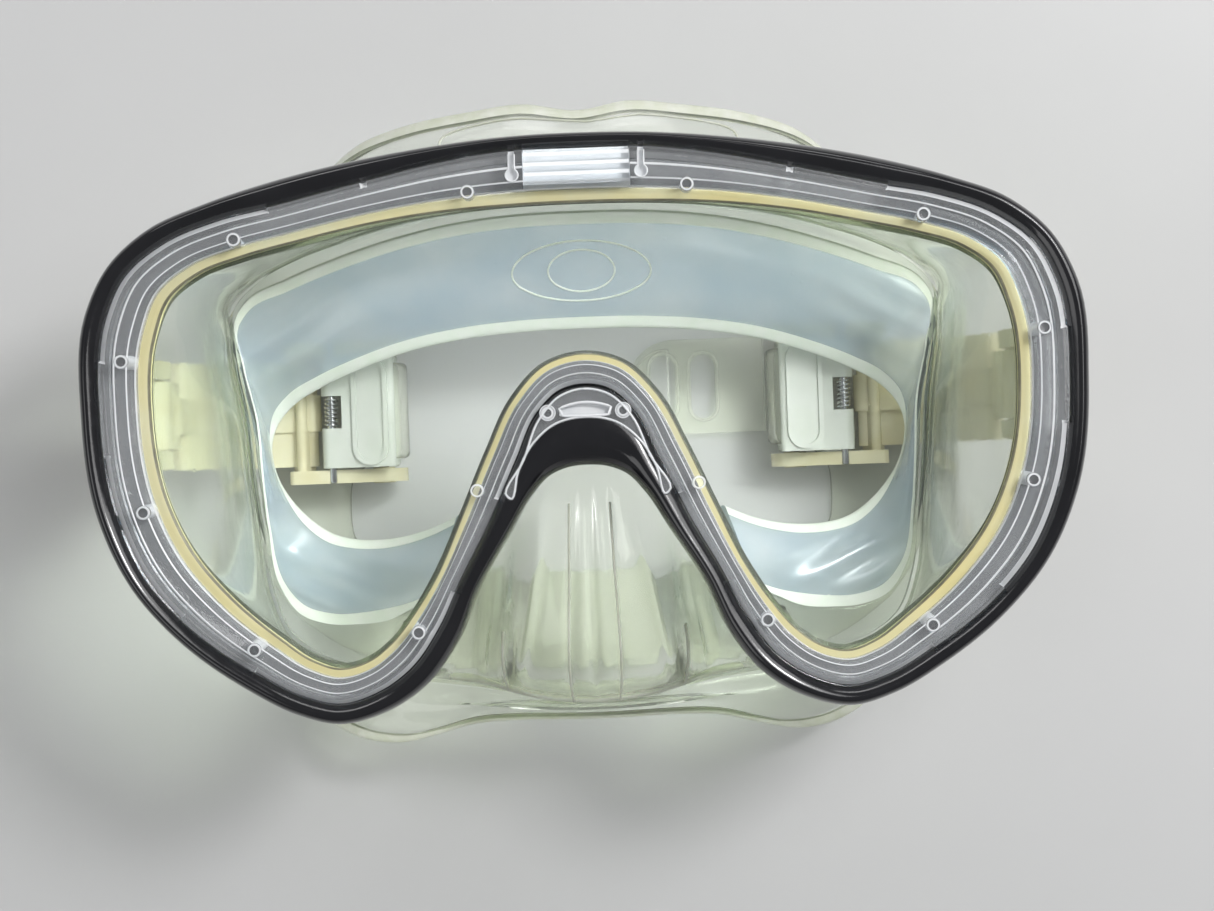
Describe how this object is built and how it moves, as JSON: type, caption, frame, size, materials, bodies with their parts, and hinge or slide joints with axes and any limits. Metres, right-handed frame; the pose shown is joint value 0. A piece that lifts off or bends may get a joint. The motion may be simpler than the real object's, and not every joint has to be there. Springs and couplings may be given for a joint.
{
  "type": "diving mask",
  "caption": "Single-lens diving mask with a black frame, clear retaining ring, clear silicone skirt with nose pocket and two swivelling strap buckles.",
  "frame": {"origin": "centre of the footprint, on the surface the mask lies on", "axes": "+Z out of the lens, away from the face; +Y towards the forehead; +X to the right as seen from the front with the forehead up"},
  "size_m": [0.1776, 0.1201, 0.07],
  "materials": {
    "black_frame": "glossy black moulding with fine scratches",
    "clear_ring": "clear polished polycarbonate",
    "tempered_glass": "clear tempered glass",
    "aged_silicone": "yellowed clear silicone",
    "clear_silicone": "clear silicone, smooth",
    "frosted_silicone": "frosted bluish white silicone",
    "buckle_plastic": "clear nylon yellowed with age",
    "lever_plastic": "milky clear nylon",
    "strap_silicone": "clear silicone strap",
    "pin_steel": "stainless steel"
  },
  "bodies": {
    "mask": {"main_frame": "black_frame", "lens_ring": "clear_ring", "lens": "tempered_glass", "top_clip": "clear_ring", "nose_plate": "clear_ring", "ring_pins": "clear_ring", "nose_pins": "clear_ring", "skirt_channel": "aged_silicone", "skirt_wall": "clear_silicone", "skirt_outer_seal": "clear_silicone", "skirt_inner_seal": "frosted_silicone", "nose_pocket": "clear_silicone", "buckle_mount_left": "buckle_plastic", "buckle_mount_right": "buckle_plastic", "strap_back": "strap_silicone", "hinge_pin_left": "pin_steel", "hinge_pin_right": "pin_steel"},
    "buckle_left": {"buckle_body_left": "buckle_plastic", "lever_pin_left": "pin_steel", "lever_spring_left": "pin_steel", "roller_axle_left": "pin_steel", "strap_turn_left": "strap_silicone", "strap_end_left": "strap_silicone"},
    "lever_left": {"release_lever_left": "lever_plastic"},
    "roller_left": {"strap_roller_left": "lever_plastic"},
    "buckle_right": {"buckle_body_right": "buckle_plastic", "lever_pin_right": "pin_steel", "lever_spring_right": "pin_steel", "roller_axle_right": "pin_steel", "strap_turn_right": "strap_silicone", "strap_end_right": "strap_silicone", "strap_tail_right": "strap_silicone"},
    "lever_right": {"release_lever_right": "lever_plastic"},
    "roller_right": {"strap_roller_right": "lever_plastic"}
  },
  "joints": [
    {"name": "buckle_swing_left", "type": "hinge", "parent": "mask", "child": "buckle_left", "pos_m": [-0.0815, 0.005, 0.038], "axis": [0, 1, 0], "range_deg": [0, 100]},
    {"name": "buckle_swing_right", "type": "hinge", "parent": "mask", "child": "buckle_right", "pos_m": [0.0815, 0.005, 0.038], "axis": [0, -1, 0], "range_deg": [0, 100]},
    {"name": "roller_spin_left", "type": "hinge", "parent": "buckle_left", "child": "roller_left", "pos_m": [-0.041, 0.005, 0.0076], "axis": [0, 1, 0], "continuous": true},
    {"name": "roller_spin_right", "type": "hinge", "parent": "buckle_right", "child": "roller_right", "pos_m": [0.041, 0.005, 0.0076], "axis": [0, 1, 0], "continuous": true},
    {"name": "lever_lift_left", "type": "hinge", "parent": "buckle_left", "child": "lever_left", "pos_m": [-0.0505, 0.005, 0.0136], "axis": [0, -1, 0], "range_deg": [0, 25], "stiffness_Nm_per_rad": 0.02},
    {"name": "lever_lift_right", "type": "hinge", "parent": "buckle_right", "child": "lever_right", "pos_m": [0.0505, 0.005, 0.0136], "axis": [0, 1, 0], "range_deg": [0, 25], "stiffness_Nm_per_rad": 0.02}
  ]
}
